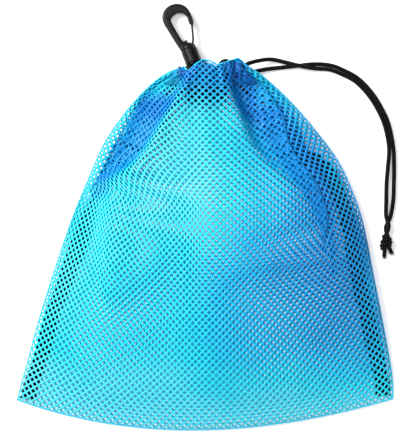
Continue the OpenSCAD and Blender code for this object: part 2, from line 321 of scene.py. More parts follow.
# ------------------------------------------------------------------ free drawcord, the same route as the CAD solid
outer_pts = [(25.0, 107.0, 11.5), (28.4, 111.8, 11.2), (33, 114.6, 9.4), (41, 117, 6), (50, 118.2, 3.0), (60, 116.2, 2.2), (70, 113.4, 4.8),
             (82, 111.6, 2.2), (93, 110.8, 1.75), (102, 107.6, 1.75), (113, 101.7, 1.75), (122.6, 91.8, 1.75), (129.8, 80.6, 1.75),
             (135.2, 68, 1.75), (138.2, 52, 1.75), (137.4, 38, 1.75), (136.4, 26, 1.75), (136.1, 12, 1.75), (136.0, 1, 1.9), (137.6, -7, 3.9), (135.2, -15, 2.6)]
inner_pts = [(29.0, 104.0, 6.0), (34.6, 107.8, 5.0), (40, 109.6, 3.3), (48, 111.2, 2.0), (58, 112.3, 1.75), (70, 113.6, 1.75),
             (82, 114.8, 1.75), (94, 113.9, 1.75), (103.6, 110.4, 1.75), (115.0, 104.0, 1.75), (125.0, 93.6, 1.75), (132.4, 82.0, 1.75),
             (138.1, 69, 1.75), (141.4, 52, 1.75), (142.0, 38, 1.75), (141.8, 24, 1.75), (141.3, 12, 1.75), (139.2, 0, 1.75), (135.8, -8, 1.75), (137, -15, 4.2)]
for nm, pts, node in (("drawcord_outer", outer_pts, "cord_strand_outer"), ("drawcord_inner", inner_pts, "cord_strand_inner")):
    V, F, P, L = braided(route(pts, 12), 1.5)
    ob = make_obj(nm, V, F, M_CORD, "bag")
    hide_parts(node)

# the knot: both strands go in at the top, wrap once and a half round themselves, and come out as cut tails
kc = np.array([135.7, -19.6, 3.4])


def knot_piece():
    VV, FF = [], []

    def add(V, F):
        o = sum(len(x) for x in VV)
        VV.append(V)
        FF.extend([[a + o for a in f] for f in F])

    for off, lift in ((-1.35, 2.2), (1.45, 3.0)):
        core = route([(kc[0] + off, -13.5, lift), (kc[0] + off * 0.9, -17, lift + 0.4), (kc[0] - off * 0.2, -20, lift + 0.2), (kc[0] - off * 0.8, -23.6, lift - 0.5)], 8)
        V, F, *_ = braided(core, 1.45)
        add(V, F)
    for k, (y0, tilt) in enumerate(((-17.4, 0.32), (-20.0, 0.30), (-22.3, 0.26))):
        t = np.linspace(-0.2, 2 * math.pi * 0.97, 40)
        rx, rz = (3.5, 2.05) if k == 1 else (2.95, 1.95)
        loop = np.stack([kc[0] + rx * np.cos(t), y0 + tilt * rx * np.cos(t) + 0.9 * np.sin(t + k) * 0.3 - t * 0.10, 3.45 + rz * np.sin(t)], axis=1)
        V, F, *_ = braided(loop, 1.4)
        add(V, F)
    tails = [route([(135.2, -22.4, 3.0), (134.9, -25.2, 1.9), (134.6, -29.8, 1.6)], 8),
             route([(137.2, -22.0, 3.2), (138.9, -24.4, 2.2), (140.2, -27.2, 1.6)], 8)]
    for tl in tails:
        V, F, P, L = braided(tl, 1.45)
        # the heat-cut end flares a little
        n = len(P)
        V = V.reshape(n, 20, 3)
        for j in range(max(0, n - 4), n):
            V[j] = P[j] + (V[j] - P[j]) * (1 + 0.10 * (j - n + 5) / 4)
        add(V.reshape(-1, 3), F)
        # loose yarn ends
        rng = np.random.default_rng(7 + len(VV))
        end, d = P[-1], P[-1] - P[-3]
        d /= np.linalg.norm(d)
        for _ in range(14):
            a = rng.uniform(0, 2 * math.pi)
            w = np.array([-d[1] * math.cos(a), d[0] * math.cos(a), math.sin(a)])
            b = end + w * rng.uniform(0.2, 1.2)
            q = np.array([b - d * 0.3, b + d * rng.uniform(0.5, 1.4) + w * 0.25, b + d * rng.uniform(1.2, 2.3) + w * rng.uniform(0.2, 0.9)])
            q[:, 2] = np.maximum(q[:, 2], 0.25)
            T, S, U = frames(q)
            ring = []
            for j, rr in enumerate((0.13, 0.11, 0.05)):
                for kk in range(5):
                    aa = 2 * math.pi * kk / 5
                    ring.append(q[j] + rr * (math.cos(aa) * S[j] + math.sin(aa) * U[j]))
            fs = [[j * 5 + kk, j * 5 + (kk + 1) % 5, (j + 1) * 5 + (kk + 1) % 5, (j + 1) * 5 + kk] for j in range(2) for kk in range(5)]
            fs += [[4, 3, 2, 1, 0], [10, 11, 12, 13, 14]]
            add(np.array(ring), fs)
    V = np.concatenate(VV)
    V[:, 2] = np.maximum(V[:, 2], 0.08)
    return V, FF


V, F = knot_piece()
knot = make_obj("cord_overhand_knot", V, F, M_CORD, "bag")
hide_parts("cord_knot")

# the part of the drawcord that runs inside the casing, with the bight that shows between the pleats
ring_pts = [(26.5, 107.6, 11.3), (23.6, 110.0, 12.0), (20.6, 112.6, 12.6), (18.4, 114.6, 13.2), (15.6, 115.7, 13.6), (12.6, 114.8, 13.2), (9.6, 111.4, 12.4),
            (4, 108.0, 11.6), (-3, 106.2, 11.4), (-10, 105.2, 12.2), (-16, 104.4, 10.4), (-18.4, 104.2, 7.6), (-16, 104.4, 4.4), (-8, 105, 3.2),
            (4, 106, 3.0), (16, 106.4, 3.2), (24, 105.6, 4.4), (29.0, 104.2, 5.9)]
V, F, P, L = braided(route(ring_pts, 8), 1.5)
ob = make_obj("drawcord_in_casing_braid", V, F, M_CORD, "bag")
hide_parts("drawcord_in_casing")

# ------------------------------------------------------------------ the bag's surface
LEFT = np.array([(-141, -137.5), (-138, -125), (-134.4, -113), (-131, -101), (-127.7, -89), (-124.4, -77), (-120.6, -65), (-116.8, -53), (-113, -41),
                 (-109, -29), (-105, -17), (-100.7, -5), (-96.2, 7), (-91.2, 19), (-86, 31), (-81, 43), (-75.4, 55), (-67.6, 67), (-58.7, 79),
                 (-48.5, 91), (-35.5, 102.8), (-26, 108.4), (-18, 111)], float)
RIGHT = np.array([(141, -136.5), (141, -125), (139.4, -113), (137.2, -101), (134.8, -89), (132.4, -77), (130, -65), (127.6, -53), (125.2, -41),
                  (123, -29), (120.8, -17), (118.2, -5), (114.8, 7), (110, 19), (105, 31), (98.6, 43), (90, 55), (80.3, 67), (70.3, 79),
                  (58.6, 91), (45.6, 102.8), (37.6, 108.6), (30, 112.8)], float)
NS, NT = 142, 521
H0 = 141 / 53.0           # half the diagonal of one mesh
JN = 106
QLEN = JN * H0


def by_length(P, n):
    s = np.concatenate([[0], np.cumsum(np.linalg.norm(np.diff(P, axis=0), axis=1))])
    q = np.linspace(0, s[-1], n)
    out = np.stack([np.interp(q, s, P[:, i]) for i in (0, 1)], axis=1)
    for _ in range(6):
        out[1:-1] = 0.25 * out[:-2] + 0.5 * out[1:-1] + 0.25 * out[2:]
    return out


sig = lambda x: 1 / (1 + np.exp(-np.clip(x, -40, 40)))
ss = lambda x, a, b: np.clip((x - a) / (b - a), 0, 1) ** 2 * (3 - 2 * np.clip((x - a) / (b - a), 0, 1))
S = np.linspace(0, 1, NS)[:, None]
Tt = np.linspace(0, 1, NT)[None, :]
Lp, Rp = by_length(LEFT, NS), by_length(RIGHT, NS)
U = -np.cos(math.pi * Tt)        # samples crowd towards the seams
U = 0.35 * U + 0.65 * (2 * Tt - 1)
X = (Lp[:, :1] + Rp[:, :1]) / 2 + U * (Rp[:, :1] - Lp[:, :1]) / 2
Yedge = (Lp[:, 1:] + Rp[:, 1:]) / 2 + U * (Rp[:, 1:] - Lp[:, 1:]) / 2
Yc = -159.6 + 275.6 * S ** 0.985
bowY = Yc - (Lp[:, 1:] + Rp[:, 1:]) / 2
Y = Yedge + bowY * (1 - U ** 2) * (1 - 0.12 * U * (1 - S))
# the top edge's pleats
top_x = np.array([-18, -15.5, -13.6, -11.6, -7, -1.5, 5, 9, 12, 18, 24, 27, 30], float)
top_y = np.array([111, 111.6, 108.4, 108.4, 112.6, 116.2, 114.8, 112.2, 113.0, 115.6, 118.0, 116.6, 112.8], float)
off = np.interp(X[-1], top_x, top_y) - Y[-1]
Y = Y + off[None, :] * S ** 26


def zs_of(s):
    return 1.2 + 4.0 * np.minimum(1, s * 4) + 4.8 * s ** 3


def crown(s):
    return 2.6 + 26.0 * np.sin(math.pi * np.minimum(1, s ** 0.8)) + 15.4 * s ** 4


def fold(px_, py_, X, Y):
    """Horizontal distance to a fold line x(y), turned into a distance across it."""
    o = np.argsort(py_)
    py_, px_ = np.array(py_, float)[o], np.array(px_, float)[o]
    yy = np.linspace(py_[0], py_[-1], 200)
    xx = np.interp(yy, py_, px_)
    for _ in range(60):
        xx[1:-1] = (xx[:-2] + xx[2:]) / 2
    sl = np.gradient(xx, yy)
    return (X - np.interp(Y, yy, xx)) / np.sqrt(1 + np.interp(Y, yy, sl) ** 2)


lineL = ([-9, -13, -25, -34, -43, -54, -79, -96], [114, 106, 87, 69, 51, 37, 25, 19])
lineR = ([15, 16.5, 20.5, 26.5, 31, 38, 51, 62, 72, 80, 86, 90, 93], [116, 106, 94, 78, 64, 48, 36, 28, 18, 4, -14, -35, -58])
dL, dR = fold(*lineL, X, Y), fold(*lineR, X, Y)


def crossing(d):
    """Where each row of cloth meets a fold line."""
    j = np.arange(NS)
    k = np.argmax(d > 0, axis=1)
    k = np.clip(np.where((d > 0).any(axis=1), k, NT - 1), 1, NT - 1)
    f = np.clip(d[j, k - 1] / (d[j, k - 1] - d[j, k] + 1e-9), 0, 1)
    x = X[j, k - 1] + f * (X[j, k] - X[j, k - 1])
    y = Y[j, k - 1] + f * (Y[j, k] - Y[j, k - 1])
    for _ in range(8):
        x[1:-1] = 0.25 * x[:-2] + 0.5 * x[1:-1] + 0.25 * x[2:]
    return x, y


def widths(y, tables):
    out = []
    for ys, ws in tables:
        w = np.interp(y, ys, ws)
        for _ in range(10):
            w[1:-1] = 0.25 * w[:-2] + 0.5 * w[1:-1] + 0.25 * w[2:]
        out.append(w)
    return out


GAP = 0.85


def stack_of(ws):
    return sum(2 * GAP * np.minimum(1, w / 6) for w in ws)


xL, yL = crossing(dL)
xR, yR = crossing(dR)
wL = widths(yL, [([24, 30, 42, 60, 80, 95, 108, 114], [0, 8, 19, 21, 20, 16, 7, 6]), ([74, 90, 100, 110], [0, 12, 13, 7]), ([96, 106, 112], [0, 7, 6])])
wR = widths(yR, [([-22, -10, 4, 18, 30, 45, 60, 75, 92, 106, 114], [0, 5, 14, 23, 29, 33, 32, 30, 25, 12, 10]),
                 ([70, 88, 100, 110], [0, 14, 15, 9]), ([94, 106, 112], [0, 9, 8])])
bLx, bLy = crossing(fold([-6, -12, -24, -38, -55, -74, -92], [114, 100, 80, 58, 38, 18, 2], X, Y))
bRx, bRy = crossing(fold([12, 18, 29, 45, 62, 82, 96], [114, 100, 80, 56, 34, 6, -30], X, Y))
vL = widths(bLy, [([0, 20, 40, 62, 84, 98, 112], [0, 10, 20, 23, 20, 13, 6]), ([70, 88, 100, 112], [0, 12, 12, 6]), ([94, 106, 112], [0, 6, 5])])
vR = widths(bRy, [([-40, -10, 20, 44, 64, 84, 98, 112], [0, 8, 20, 28, 30, 24, 15, 8]), ([70, 88, 100, 112], [0, 13, 13, 8]), ([94, 106, 112], [0, 8, 7])])


def within(x_in, w, sgn, soft=1.4):
    """1 over the strip that lies outwards of a fold line, w wide."""
    h = (X - x_in[:, None]) * sgn
    return sig(h / soft) * sig((w[:, None] + 1.0 - h) / (soft * 1.4))


calm = 1 - 0.85 * ss(Y, 94, 108)
aL = 8.5 * ss(Y, 20, 50) * calm
aR = 7.5 * ss(Y, 22, 54) * calm
front = zs_of(S) + (crown(S) - zs_of(S)) * np.maximum(0, 1 - U ** 2) ** (0.5 + 0.16 * np.sin(math.pi * S))
pocketL = within(xL, wL[0], -1)
pocketR = within(xR, wR[0], 1)
valley = np.exp(-((dR - 7.5) / 4.5) ** 2) * ss(Y, 60, 76) * (1 - 0.6 * ss(Y, 100, 110))
front -= aL * pocketL * np.exp(-(np.maximum(0, -dL - 4) / 22) ** 2) + aR * pocketR * np.exp(-(np.maximum(0, dR - 4) / 30) ** 2) + 4.5 * valley
# crests beside the two folds
front += 1.8 * np.exp(-((dL - 3.0) / 3.5) ** 2) * ss(Y, 20, 40) + 1.6 * np.exp(-((dR + 3.0) / 3.5) ** 2) * ss(Y, 20, 44)
# broad soft waves and smaller ones that fan out from the neck
fan = (X - 4) / (30 + 0.62 * (118 - Y))
front += 1.3 * np.sin(9.0 * fan + 0.7) * np.sin(math.pi * S) ** 1.2 + 0.8 * np.sin(19 * fan + 2.0 + 0.01 * Y) * S ** 1.5 * (1 - S ** 8)
front += 1.1 * np.sin(X / 17.0 + 0.4 * np.sin(Y / 40)) * np.sin(math.pi * np.minimum(1, S * 1.3)) * (1 - S)
front += 0.7 * np.sin((X * 0.7 + Y) / 23.0) * np.sin(math.pi * S)
# tight pleats at the gathered edge, away from the flat middle one
edge_w = ss(S, 0.86, 1.0)
flat_mid = np.exp(-((X - 1) / 9) ** 4)
front += 1.5 * edge_w * (1 - 0.9 * flat_mid) * np.cos(2 * math.pi * X / 6.4 + 0.6)
front += 1.2 * edge_w * flat_mid
tray = np.minimum(1, np.maximum(0, 1 - np.abs(U) ** (2 + 7 * (1 - S ** 5))) ** 0.5 / 0.97)
back = zs_of(S) - (zs_of(S) - 0.45) * tray
back += 0.5 * (1 + np.sin(X / 13 + 0.6 * np.sin(Y / 31))) * 0.55 * np.sin(math.pi * S) * tray + 0.8 * edge_w * (1 + np.cos(2 * math.pi * X / 5.8))
layersF = stack_of(wL)[:, None] * within(xL, wL[0], -1, 1.0) + stack_of(wR)[:, None] * within(xR, wR[0], 1, 1.0)
layersB = stack_of(vL)[:, None] * within(bLx, vL[0], -1, 1.0) + stack_of(vR)[:, None] * within(bRx, vR[0], 1, 1.0)
front = np.maximum(front, back + (0.75 + layersF + layersB) * (1 - np.abs(U) ** 8))
# no fold may sink into the hook's eye below it
near_hook = np.exp(-(((X + 8) / 13) ** 4)) * ss(Y, 97, 104) * (1 - 0.4 * np.abs(U) ** 6)
front = np.maximum(front, near_hook * 18.6)


def smooth_rows(Z, n):
    for _ in range(n):
        Z[:, 1:-1] = 0.25 * Z[:, :-2] + 0.5 * Z[:, 1:-1] + 0.25 * Z[:, 2:]
        Z[1:-1] = 0.25 * Z[:-2] + 0.5 * Z[1:-1] + 0.25 * Z[2:]
    return Z


front = smooth_rows(front, 2)
back = smooth_rows(back, 2)
front = np.minimum(front, 30.0)


def pleated(Z, xl, wl, xr, wr, zone, away):
    """Each row as a line of cloth that runs in from one seam, doubles back under itself at the two folds, and runs out
    to the other seam.
    away is the side the hidden layers lie on: -1 below the surface, 1 above it. Returns the points, resampled along
    each row so that the gathering left to take up is spread by zone."""
    A, Bn = 170, 44
    base = np.sqrt(np.gradient(X, axis=1) ** 2 + np.gradient(Z, axis=1) ** 2 + np.gradient(Y, axis=1) ** 2)
    xc = 1.0 + 0 * Lp[:, 0]
    rows, mids = [], []
    for j in range(NS):
        need_l = max(0.0, 141 - float((base[j] * (X[j] < xc[j])).sum()))
        need_r = max(0.0, 141 - float((base[j] * (X[j] >= xc[j])).sum()))
        tot_l, tot_r = 2 * sum(w[j] for w in wl), 2 * sum(w[j] for w in wr)
        kl = min(1.0, 0.94 * need_l / tot_l) if tot_l > 0 else 0.0
        kr = min(1.0, 0.94 * need_r / tot_r) if tot_r > 0 else 0.0
        L = [w[j] * kl for w in wl]
        R = [w[j] * kr for w in wr]
        x0, x1 = X[j, 0], X[j, -1]
        xa, xb = max(xl[j], x0 + L[0] + 2), min(xr[j], x1 - R[0] - 2)
        xs, hs = [], []
        gl, gr = [2 * GAP * min(1, w / 6) for w in L], [2 * GAP * min(1, w / 6) for w in R]
        tl, tr = sum(gl), sum(gr)
        x = np.linspace(x0, xa, A)
        xs.append(x)
        hs.append(tl * np.clip((x - (xa - L[0] - 2.5)) / 2.5, 0, 1))
        h = tl
        for r in (2, 1, 0):
            x = np.linspace(xa, xa - L[r], Bn)
            xs.append(x)
            hs.append(h - gl[r] * np.linspace(0, 1, Bn))
            h -= gl[r]
            if r:
                xs.append(x[::-1])
                hs.append(np.full(Bn, h))
        x = np.concatenate([np.linspace(xa - L[0], xc[j], A, endpoint=False), np.linspace(xc[j], xb + R[0], A)])
        xs.append(x)
        hs.append(np.zeros(2 * A))
        h = 0.0
        for r in (0, 1, 2):
            if r:
                x = np.linspace(xb, xb + R[r], Bn)
                xs.append(x)
                hs.append(np.full(Bn, h))
            x = np.linspace(xb + R[r], xb, Bn)
            xs.append(x)
            hs.append(h + gr[r] * np.linspace(0, 1, Bn))
            h += gr[r]
        x = np.linspace(xb, x1, A)
        xs.append(x)
        hs.append(tr * np.clip(((xb + R[0] + 2.5) - x) / 2.5, 0, 1))
        x, h = np.concatenate(xs), np.concatenate(hs)
        fade = 1 - np.abs(np.interp(x, X[j], U[0])) ** 8
        rows.append(np.stack([x, np.interp(x, X[j], Y[j]), np.interp(x, X[j], Z[j]) + away * h * fade, np.interp(x, X[j], zone[j]), np.abs(h)], axis=1))
    D = np.array(rows)
    a = np.sqrt((np.gradient(D[:, :, :3], axis=1) ** 2).sum(axis=2))
    z = D[:, :, 3]
    m = A + 5 * Bn + A          # the sample on the middle line, which stays the middle of the cloth
    half = []
    for sl in (slice(0, m), slice(m, None)):
        aa, zz = a[:, sl], z[:, sl]
        extra = np.maximum(0, 141 - aa.sum(axis=1)) / (zz * aa).sum(axis=1)
        for _ in range(12):
            extra[1:-1] = 0.25 * extra[:-2] + 0.5 * extra[1:-1] + 0.25 * extra[2:]
        r = aa * (1 + extra[:, None] * zz)
        half.append(0.5 * r / r.sum(axis=1, keepdims=True))
    rho = np.concatenate(half, axis=1)
    c = np.cumsum(rho, axis=1) - rho / 2
    c = (c - c[:, :1]) / (c[:, -1:] - c[:, :1])
    pg = np.linspace(0, 1, 565)
    G = np.empty((NS, 565, 3))
    for j in range(NS):
        for k in range(3):
            G[j, :, k] = np.interp(pg, c[j], D[j, :, k])
    return G


edge_zone = np.exp(-((1 - np.abs(U)) / 0.10) ** 2)
shoulder = ss(Y, 14, 50)
panel = sig((X - xL[:, None]) / 1.5) * sig((xR[:, None] - X) / 1.5)
neckward = ss(Y, 40, 95)
zoneF = 0.35 + 0.5 * pocketL + 0.4 * pocketR + 0.6 * valley + (0.6 - 0.52 * sig(-(X + 20) / 8)) * edge_zone * (1 - 0.95 * shoulder)
zoneF = zoneF + 1.5 * np.exp(-((X + 77) / 7) ** 2 - ((Y + 22) / 38) ** 2) - 0.22 * edge_zone * sig(-(X + 20) / 8) * (1 - shoulder)
zoneF = zoneF * (1 - 0.85 * neckward * panel) + 0.9 * np.exp(-((X - 91) / 9) ** 2 - ((Y + 22) / 34) ** 2) + 0.35 * np.exp(-((X - 60) / 30) ** 2 - ((Y + 60) / 60) ** 2)
zoneB = 0.5 + 0.6 * edge_zone * (1 - 0.95 * shoulder)
zoneB = zoneB * (1 - 0.8 * neckward * sig((X - bLx[:, None]) / 1.5) * sig((bRx[:, None] - X) / 1.5))
GF = pleated(front, xL, wL, xR, wR, zoneF, -1)
GB = pleated(back, bLx, vL, bRx, vR, zoneB, 1)
# the hook's eye lies on the back layer at the neck and presses its folds flat
pressed = np.exp(-(((GB[:, :, 0] + 7) / 12.5) ** 4)) * ss(GB[:, :, 1], 98, 103)
GB[:, :, 2] = GB[:, :, 2] * (1 - pressed) + np.minimum(GB[:, :, 2], 0.62 + 0.05 * GB[:, :, 2]) * pressed


def sample(G, p, q):
    a = np.clip(q / QLEN * (NS - 1), 0, NS - 1.001)
    b = np.clip((p + 141) / 282 * 564, 0, 563.999)
    i, j = a.astype(int), b.astype(int)
    fa, fb = (a - i)[..., None], (b - j)[..., None]
    return (G[i, j] * (1 - fa) * (1 - fb) + G[i + 1, j] * fa * (1 - fb) + G[i, j + 1] * (1 - fa) * fb + G[i + 1, j + 1] * fa * fb)


def derived(G):
    dp = np.gradient(G, axis=1) / (282 / 564)
    dq = np.gradient(G, axis=0) / (QLEN / (NS - 1))
    n = np.cross(dp, dq)
    n /= np.linalg.norm(n, axis=2, keepdims=True) + 1e-9
    for _ in range(3):
        n[:, 1:-1] = 0.25 * n[:, :-2] + 0.5 * n[:, 1:-1] + 0.25 * n[:, 2:]
        n[1:-1] = 0.25 * n[:-2] + 0.5 * n[1:-1] + 0.25 * n[2:]
    n /= np.linalg.norm(n, axis=2, keepdims=True) + 1e-9
    return n, np.linalg.norm(dp, axis=2, keepdims=True), np.linalg.norm(dq, axis=2, keepdims=True)


def layers_at(x, y):
    """How many extra layers lie over each other at a point of the plan, 0 to 1."""
    row = np.clip(np.interp(y, Yc[:, 0] - bowY[:, 0] * 0.5, np.arange(NS)), 0, NS - 1)
    for _ in range(3):
        j = np.clip(np.round(row).astype(int), 0, NS - 1)
        mid, half = (Lp[j, 0] + Rp[j, 0]) / 2, (Rp[j, 0] - Lp[j, 0]) / 2
        u = np.clip((x - mid) / half, -1, 1)
        yr = (Lp[j, 1] + Rp[j, 1]) / 2 + u * (Rp[j, 1] - Lp[j, 1]) / 2 + bowY[j, 0] * (1 - u ** 2)
        row = np.clip(row + (y - yr) / 1.96, 0, NS - 1)
    j = np.clip(np.round(row).astype(int), 0, NS - 1)
    both = layersF + 0.6 * layersB
    k = np.clip(np.searchsorted(U[0], u), 0, NT - 1)
    return np.clip(both[j, k] / 3.2, 0, 1)


def net(G, side, j0=0, j1=JN, shift=(0.0, 0.0), lift=0.0, thread=0.31, imax=53):
    """Netting with real holes: one mesh per hole, an eight-cornered hole above and a four-cornered one below."""
    Nn, Cp, Cq = derived(G)
    ci, cj = np.meshgrid(np.arange(-imax, imax + 1), np.arange(j0, j1 + 1), indexing="ij")
    even = (ci + cj) % 2 == 0
    idx = -np.ones(ci.shape, int)
    idx[even] = np.arange(even.sum())
    nc = int(even.sum())
    cp, cq = ci[even] * H0 + shift[0], cj[even] * H0 + shift[1]
    cp = np.clip(cp, -141, 141)
    cq = np.clip(cq, 0, QLEN)
    cc = (~even) & (np.abs(ci) < imax) & (cj > j0) & (cj < j1)
    hi, hj = ci[cc], cj[cc]
    m = len(hi)
    col, row = hi + imax, hj - j0
    W, Sd, E, Nd = idx[col - 1, row], idx[col, row - 1], idx[col + 1, row], idx[col, row + 1]
    K = [E, Nd, W, Sd]
    hp, hq = hi * H0 + shift[0], hj * H0 + shift[1]
    hp, hq = np.clip(hp, -141, 141), np.clip(hq, 0, QLEN)
    comp_p = sample(Cp, hp, hq)[:, 0]
    comp_q = sample(Cq, hp, hq)[:, 0]
    fp = np.clip(1 - thread / np.maximum(comp_p, 0.2), 0.16, 0.70) / 0.62
    fq = np.clip(1 - thread / np.maximum(comp_q, 0.2), 0.16, 0.70) / 0.62
    ra, rd = 0.545 * H0, 0.62 * H0 / math.sqrt(2) * 1.0
    rb = 0.60 * H0
    ang = [0, 45, 90, 135, 180, 225, 270, 315]
    tops, bots = [], []
    for k, a in enumerate(ang):
        r = ra if k % 2 == 0 else rd
        tops.append((hp + fp * r * math.cos(math.radians(a)), hq + fq * r * math.sin(math.radians(a))))
    for a in (0, 90, 180, 270):
        bots.append((hp + fp * rb * math.cos(math.radians(a)), hq + fq * rb * math.sin(math.radians(a))))

    def place(p, q, h):
        pt = sample(G, p, q)
        n = sample(Nn, p, q)
        n /= np.linalg.norm(n, axis=1, keepdims=True) + 1e-9
        return pt + n * side * (np.reshape(h, (-1, 1)) + lift)

    # crossings alternate a little high and low, as the two sets of yarn pass over each other
    alt = np.where(((ci[even] + cj[even]) // 2 + ci[even]) % 2 == 0, 1.0, -1.0)
    V = [place(cp, cq, 0.34 + 0.05 * alt), place(cp, cq, -0.30 + 0.05 * alt)]
    for p, q in tops:
        V.append(place(p, q, 0.16))
    for p, q in bots:
        V.append(place(p, q, -0.16))
    V = np.concatenate(V)
    T = [2 * nc + k * m + np.arange(m) for k in range(8)]
    B = [2 * nc + 8 * m + k * m + np.arange(m) for k in range(4)]
    F = []
    for k in range(4):
        c0, c1 = K[k], K[(k + 1) % 4]
        d0, d1 = c0 + nc, c1 + nc
        t0, t1, t2 = T[2 * k], T[2 * k + 1], T[(2 * k + 2) % 8]
        b0, b1 = B[k], B[(k + 1) % 4]
        F += [np.stack(x, axis=1) for x in ((c0, t1, t0), (c0, c1, t1), (c1, t2, t1), (d0, b0, b1), (d0, b1, d1),
                                            (t0, t1, b0), (t1, b1, b0), (t1, t2, b1))]
    F = np.concatenate(F)
    # close the cut edge
    ed = np.concatenate([np.stack([K[k], K[(k + 1) % 4]], axis=1) for k in range(4)])
    key = np.sort(ed, axis=1)
    uq, inv, cnt = np.unique(key[:, 0] * nc + key[:, 1], return_inverse=True, return_counts=True)
    b = ed[cnt[inv] == 1]
    F = np.concatenate([F, np.stack([b[:, 0], b[:, 0] + nc, b[:, 1] + nc], axis=1), np.stack([b[:, 0], b[:, 1] + nc, b[:, 1]], axis=1)])
    if side < 0:
        F = F[:, ::-1]
    allp = np.concatenate([cp, cp] + [t[0] for t in tops] + [t[0] for t in bots])
    allq = np.concatenate([cq, cq] + [t[1] for t in tops] + [t[1] for t in bots])
    cx = sample(Cp, allp, allq)[:, 0]
    where = sample(G, allp, allq)
    # painted shade for the layer shade attribute: deeper where folded layers stack (less at the neck's upper left and
    # upper right), a painted shadow over the middle of the neck, and deeper where meshes are squeezed, except on the
    # lit lower left
    deep = layers_at(where[:, 0], where[:, 1]) * (1 - 0.85 * ss(where[:, 1], 84, 101) * sig((-14 - where[:, 0]) / 2))
    deep = deep * (1 - 0.55 * ss(where[:, 1], 76, 94) * sig((where[:, 0] - 39) / 3))
    deep = deep + 0.8 * ss(where[:, 1], 70, 102) * sig((where[:, 0] + 17) / 2) * sig((33 - where[:, 0]) / 2)
    lit = 1 - 0.8 * sig(-(where[:, 0] + 60) / 5) * (1 - ss(where[:, 1], 4, 30))
    painted_layer_shade = np.clip(np.clip((0.74 - cx) / 0.42, 0, 1) ** 1.2 * lit + deep, 0, 1)
    used = np.zeros(len(V), bool)
    used[F.ravel()] = True
    re = np.cumsum(used) - 1
    V, F, painted_layer_shade = V[used], re[F], painted_layer_shade[used]
    # the seamed sides and the folded bottom are a straight doubled edge, not a row of cut points
    lines = []
    if imax == 53:
        qq = np.linspace(j0 * H0, j1 * H0, (j1 - j0) * 2 + 1)
        for sg in (-1, 1):
            lines.append((np.full(len(qq), sg * 140.9), qq))
    pp = np.linspace(-imax * H0, imax * H0, 4 * imax + 1)
    if j0 == 0:
        lines.append((pp, np.full(len(pp), 0.1)))
    if j1 == JN:
        lines.append((pp, np.full(len(pp), QLEN - 0.1)))
    for p, q in lines:
        P = place(p, q, 0.0)
        T, Sx, Ux = frames(P)
        rr = 0.55 * (1 + 0.12 * np.sin(np.arange(len(P)) * 1.7))
        th = np.linspace(0, 2 * math.pi, 6, endpoint=False)
        R = P[:, None] + rr[:, None, None] * (np.cos(th)[None, :, None] * Sx[:, None] + 0.8 * np.sin(th)[None, :, None] * Ux[:, None])
        i, k = np.meshgrid(np.arange(len(P) - 1), np.arange(6), indexing="ij")
        a, b, c, d = i * 6 + k, i * 6 + (k + 1) % 6, (i + 1) * 6 + (k + 1) % 6, (i + 1) * 6 + k
        f = np.concatenate([np.stack([x.ravel() for x in t], axis=1) for t in ((a, b, c), (a, c, d))]) + len(V)
        V = np.concatenate([V, R.reshape(-1, 3)])
        F = np.concatenate([F, f])
        painted_layer_shade = np.concatenate([painted_layer_shade, np.full(len(P) * 6, 0.25)])
    V[:, 2] = np.maximum(V[:, 2], 0.05)
    return V, F, painted_layer_shade


# stores the painted layer shade per point for the netting material
def with_painted_layer_shade(ob, g):
    at = ob.data.attributes.new("painted_layer_shade", "FLOAT", "POINT")
    at.data.foreach_set("value", np.asarray(g, dtype=np.float32))


V, F, g = net(GF, 1)
net_front = make_obj("netting_front", V, F, M_NET, "bag")
with_painted_layer_shade(net_front, g)
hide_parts("front_panel")
V, F, g = net(GB, -1, thread=0.50)
net_back = make_obj("netting_back", V, F, M_NET_PAINTED_SHADE, "bag")
with_painted_layer_shade(net_back, g)
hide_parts("back_panel")

# the hem turned in to make the casing, front and back
V1, F1, g1 = net(GF, 1, 98, 105, (0.9, 0.6), -1.6, imax=42)
V2, F2, g2 = net(GB, -1, 98, 105, (-0.9, 0.6), -1.3, imax=42)
hem = make_obj("casing_hem", np.concatenate([V1, V2]), np.concatenate([F1, F2 + len(V1)]), M_NET_PAINTED_SHADE, "bag")
with_painted_layer_shade(hem, np.concatenate([g1, g2]))
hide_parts("neck_casing")


# ------------------------------------------------------------------ seam tapes
def grid_solid(TOP, BOT):
    """Closed mesh from two grids of points of the same size."""
    n, m, _ = TOP.shape
    V = np.concatenate([TOP.reshape(-1, 3), BOT.reshape(-1, 3)])
    o = n * m
    F = []
    for i in range(n - 1):
        for j in range(m - 1):
            a, b, c, d = i * m + j, i * m + j + 1, (i + 1) * m + j + 1, (i + 1) * m + j
            F.append([a, b, c, d])
            F.append([o + d, o + c, o + b, o + a])
    for i in range(n - 1):
        F.append([i * m, (i + 1) * m, o + (i + 1) * m, o + i * m])
        F.append([i * m + m - 1, o + i * m + m - 1, o + (i + 1) * m + m - 1, (i + 1) * m + m - 1])
    for j in range(m - 1):
        F.append([j, o + j, o + j + 1, j + 1])
        F.append([(n - 1) * m + j, (n - 1) * m + j + 1, o + (n - 1) * m + j + 1, o + (n - 1) * m + j])
    return V, F


